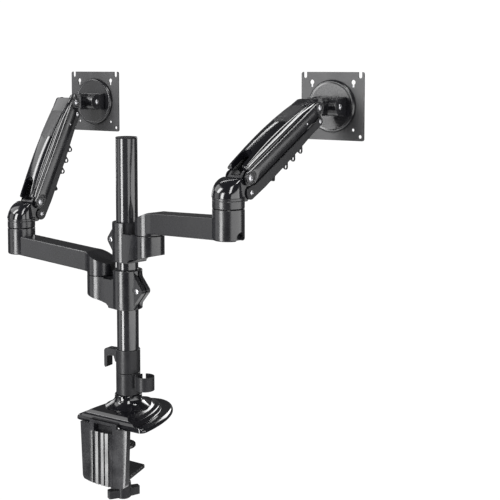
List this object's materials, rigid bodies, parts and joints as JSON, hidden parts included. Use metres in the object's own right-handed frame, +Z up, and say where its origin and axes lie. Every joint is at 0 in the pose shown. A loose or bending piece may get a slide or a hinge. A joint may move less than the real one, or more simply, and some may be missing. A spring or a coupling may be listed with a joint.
{
  "type": "monitor arm",
  "caption": "Desk clamp monitor arm: a pole with gas-spring arms that lift, swing, pan and tilt a screen plate each.",
  "frame": {"origin": "centre of the base plate's underside, on the pole's axis, at the desk's top face", "axes": "+Z up along the pole, +X along the row of screens, +Y towards the screens, the clamp's open side"},
  "size_m": [0.6137, 0.2869, 0.6905],
  "materials": {
    "black_paint": "satin-gloss black paint",
    "gloss_shell": "moulded glossy black shell",
    "matte_shell": "fine-grained matte black moulding",
    "pole_finish": "glossy black tube",
    "screw_steel": "bright plated steel",
    "rod_steel": "ground and plated rod",
    "plate_finish": "matte dark powder coat"
  },
  "bodies": {
    "stand": {"base_plate": "black_paint", "base_cover": "gloss_shell", "pole_flange": "gloss_shell", "pole": "pole_finish", "pole_cap": "matte_shell", "clamp_bracket": "black_paint", "clamp_jaw": "black_paint"},
    "pad": {"pressure_pad": "black_paint"},
    "screw": {"clamp_screw": "rod_steel", "clamp_knob": "matte_shell"},
    "clip_low": {"cable_clip_lower": "matte_shell"},
    "clip_top": {"cable_clip_upper": "matte_shell"},
    "liner_r": {"pole_liner_r": "matte_shell"},
    "collar_r": {"collar_r": "black_paint", "collar_bolt_r": "screw_steel", "swivel_pin_r": "rod_steel"},
    "lower_arm_r": {"lower_arm_r": "black_paint", "arm_cover_r": "matte_shell", "elbow_pin_r": "rod_steel"},
    "yoke_r": {"yoke_r": "black_paint", "hood_r": "gloss_shell", "pivot_rear_upper_r": "screw_steel", "pivot_rear_lower_r": "screw_steel"},
    "upper_link_r": {"upper_link_r": "black_paint", "top_cover_r": "gloss_shell", "gas_cylinder_r": "gloss_shell"},
    "lower_link_r": {"lower_link_r": "matte_shell"},
    "gas_rod_r": {"gas_rod_r": "rod_steel"},
    "head_r": {"head_bracket_r": "black_paint", "pivot_front_upper_r": "screw_steel", "pivot_front_lower_r": "screw_steel"},
    "knuckle_r": {"pan_knuckle_r": "black_paint", "tilt_bolt_r": "screw_steel"},
    "tilt_r": {"tilt_bracket_r": "black_paint", "swivel_disc_r": "black_paint"},
    "plate_r": {"screen_plate_r": "plate_finish"},
    "liner_l": {"pole_liner_l": "matte_shell"},
    "collar_l": {"collar_l": "black_paint", "collar_bolt_l": "screw_steel", "swivel_pin_l": "rod_steel"},
    "lower_arm_l": {"lower_arm_l": "black_paint", "arm_cover_l": "matte_shell", "elbow_pin_l": "rod_steel"},
    "yoke_l": {"yoke_l": "black_paint", "hood_l": "gloss_shell", "pivot_rear_upper_l": "screw_steel", "pivot_rear_lower_l": "screw_steel"},
    "upper_link_l": {"upper_link_l": "black_paint", "top_cover_l": "gloss_shell", "gas_cylinder_l": "gloss_shell"},
    "lower_link_l": {"lower_link_l": "matte_shell"},
    "gas_rod_l": {"gas_rod_l": "rod_steel"},
    "head_l": {"head_bracket_l": "black_paint", "pivot_front_upper_l": "screw_steel", "pivot_front_lower_l": "screw_steel"},
    "knuckle_l": {"pan_knuckle_l": "black_paint", "tilt_bolt_l": "screw_steel"},
    "tilt_l": {"tilt_bracket_l": "black_paint", "swivel_disc_l": "black_paint"},
    "plate_l": {"screen_plate_l": "plate_finish"}
  },
  "joints": [
    {"name": "screw_travel", "type": "slide", "parent": "stand", "child": "pad", "axis": [0, 0, 1], "range_m": [-0.024, 0.01]},
    {"name": "screw_turn", "type": "hinge", "parent": "pad", "child": "screw", "pos_m": [-0.005, -0.008, -0.06], "axis": [0, 0, 1], "range_deg": [-5765, 2405]},
    {"name": "clip_low_turn", "type": "hinge", "parent": "stand", "child": "clip_low", "pos_m": [0, 0, 0.06], "axis": [0, 0, 1], "range_deg": [-180, 180]},
    {"name": "clip_top_turn", "type": "hinge", "parent": "stand", "child": "clip_top", "pos_m": [0, 0, 0.096], "axis": [0, 0, 1], "range_deg": [-180, 180]},
    {"name": "collar_slide_r", "type": "slide", "parent": "stand", "child": "liner_r", "axis": [0, 0, 1], "range_m": [-0.01, 0.13]},
    {"name": "collar_turn_r", "type": "hinge", "parent": "liner_r", "child": "collar_r", "pos_m": [0, 0, 0.3076], "axis": [0, 0, 1], "range_deg": [-60, 60]},
    {"name": "arm_swivel_r", "type": "hinge", "parent": "collar_r", "child": "lower_arm_r", "pos_m": [0.05635, -0.01374, 0.3076], "axis": [0, 0, 1], "range_deg": [-100, 60]},
    {"name": "elbow_swivel_r", "type": "hinge", "parent": "lower_arm_r", "child": "yoke_r", "pos_m": [0.23848, -0.06424, 0.3684], "axis": [0, 0, 1], "range_deg": [-170, 50]},
    {"name": "arm_lift_r", "type": "hinge", "parent": "yoke_r", "child": "upper_link_r", "pos_m": [0.2418, -0.03826, 0.4101], "axis": [0.9919, -0.1271, 0], "range_deg": [-54.9, 40.1]},
    {"name": "link_follow_r", "type": "hinge", "parent": "yoke_r", "child": "lower_link_r", "pos_m": [0.24257, -0.03231, 0.3886], "axis": [0.9919, -0.1271, 0], "range_deg": [-54.9, 40.1]},
    {"name": "head_level_r", "type": "hinge", "parent": "upper_link_r", "child": "head_r", "pos_m": [0.263, 0.12718, 0.50601], "axis": [0.9919, -0.1271, 0], "range_deg": [-40.1, 54.9]},
    {"name": "gas_slide_r", "type": "slide", "parent": "upper_link_r", "child": "gas_rod_r", "axis": [-0.1072, -0.8366, -0.5373], "range_m": [-0.01014, 0.00746]},
    {"name": "head_pan_r", "type": "hinge", "parent": "head_r", "child": "knuckle_r", "pos_m": [0.26548, 0.14652, 0.50601], "axis": [0, 0, 1], "range_deg": [-40, 40]},
    {"name": "head_tilt_r", "type": "hinge", "parent": "knuckle_r", "child": "tilt_r", "pos_m": [0.26548, 0.16912, 0.50601], "axis": [1, 0, 0], "range_deg": [-45, 45]},
    {"name": "plate_turn_r", "type": "hinge", "parent": "tilt_r", "child": "plate_r", "pos_m": [0.26548, 0.19662, 0.50601], "axis": [0, 1, 0], "range_deg": [-180, 180]},
    {"name": "collar_slide_l", "type": "slide", "parent": "stand", "child": "liner_l", "axis": [0, 0, 1], "range_m": [-0.06, 0.01]},
    {"name": "collar_turn_l", "type": "hinge", "parent": "liner_l", "child": "collar_l", "pos_m": [0, 0, 0.2306], "axis": [0, 0, 1], "range_deg": [-60, 60]},
    {"name": "arm_swivel_l", "type": "hinge", "parent": "collar_l", "child": "lower_arm_l", "pos_m": [-0.05787, 0.00394, 0.2306], "axis": [0, 0, 1], "range_deg": [-60, 100]},
    {"name": "elbow_swivel_l", "type": "hinge", "parent": "lower_arm_l", "child": "yoke_l", "pos_m": [-0.24664, 0.01318, 0.2914], "axis": [0, 0, 1], "range_deg": [-50, 170]},
    {"name": "arm_lift_l", "type": "hinge", "parent": "yoke_l", "child": "upper_link_l", "pos_m": [-0.24417, 0.03926, 0.3331], "axis": [0.9956, -0.0941, 0], "range_deg": [-88.2, 6.8]},
    {"name": "link_follow_l", "type": "hinge", "parent": "yoke_l", "child": "lower_link_l", "pos_m": [-0.24361, 0.04523, 0.3116], "axis": [0.9956, -0.0941, 0], "range_deg": [-88.2, 6.8]},
    {"name": "head_level_l", "type": "hinge", "parent": "upper_link_l", "child": "head_l", "pos_m": [-0.23601, 0.12562, 0.50483], "axis": [0.9956, -0.0941, 0], "range_deg": [-6.8, 88.2]},
    {"name": "gas_slide_l", "type": "slide", "parent": "upper_link_l", "child": "gas_rod_l", "axis": [-0.0386, -0.4081, -0.9121], "range_m": [-0.01616, 0.00143]},
    {"name": "head_pan_l", "type": "hinge", "parent": "head_l", "child": "knuckle_l", "pos_m": [-0.23418, 0.14504, 0.50483], "axis": [0, 0, 1], "range_deg": [-40, 40]},
    {"name": "head_tilt_l", "type": "hinge", "parent": "knuckle_l", "child": "tilt_l", "pos_m": [-0.23418, 0.16764, 0.50483], "axis": [1, 0, 0], "range_deg": [-45, 45]},
    {"name": "plate_turn_l", "type": "hinge", "parent": "tilt_l", "child": "plate_l", "pos_m": [-0.23418, 0.19514, 0.50483], "axis": [0, 1, 0], "range_deg": [-180, 180]}
  ],
  "couplings": [
    {"joint": "screw_turn", "follows": "screw_travel", "rad_per_m": 4188.8},
    {"joint": "link_follow_r", "follows": "arm_lift_r", "ratio": 1},
    {"joint": "head_level_r", "follows": "arm_lift_r", "ratio": -1},
    {"joint": "gas_slide_r", "follows": "arm_lift_r", "m_per_rad": 0.01037},
    {"joint": "link_follow_l", "follows": "arm_lift_l", "ratio": 1},
    {"joint": "head_level_l", "follows": "arm_lift_l", "ratio": -1},
    {"joint": "gas_slide_l", "follows": "arm_lift_l", "m_per_rad": 0.01037}
  ]
}
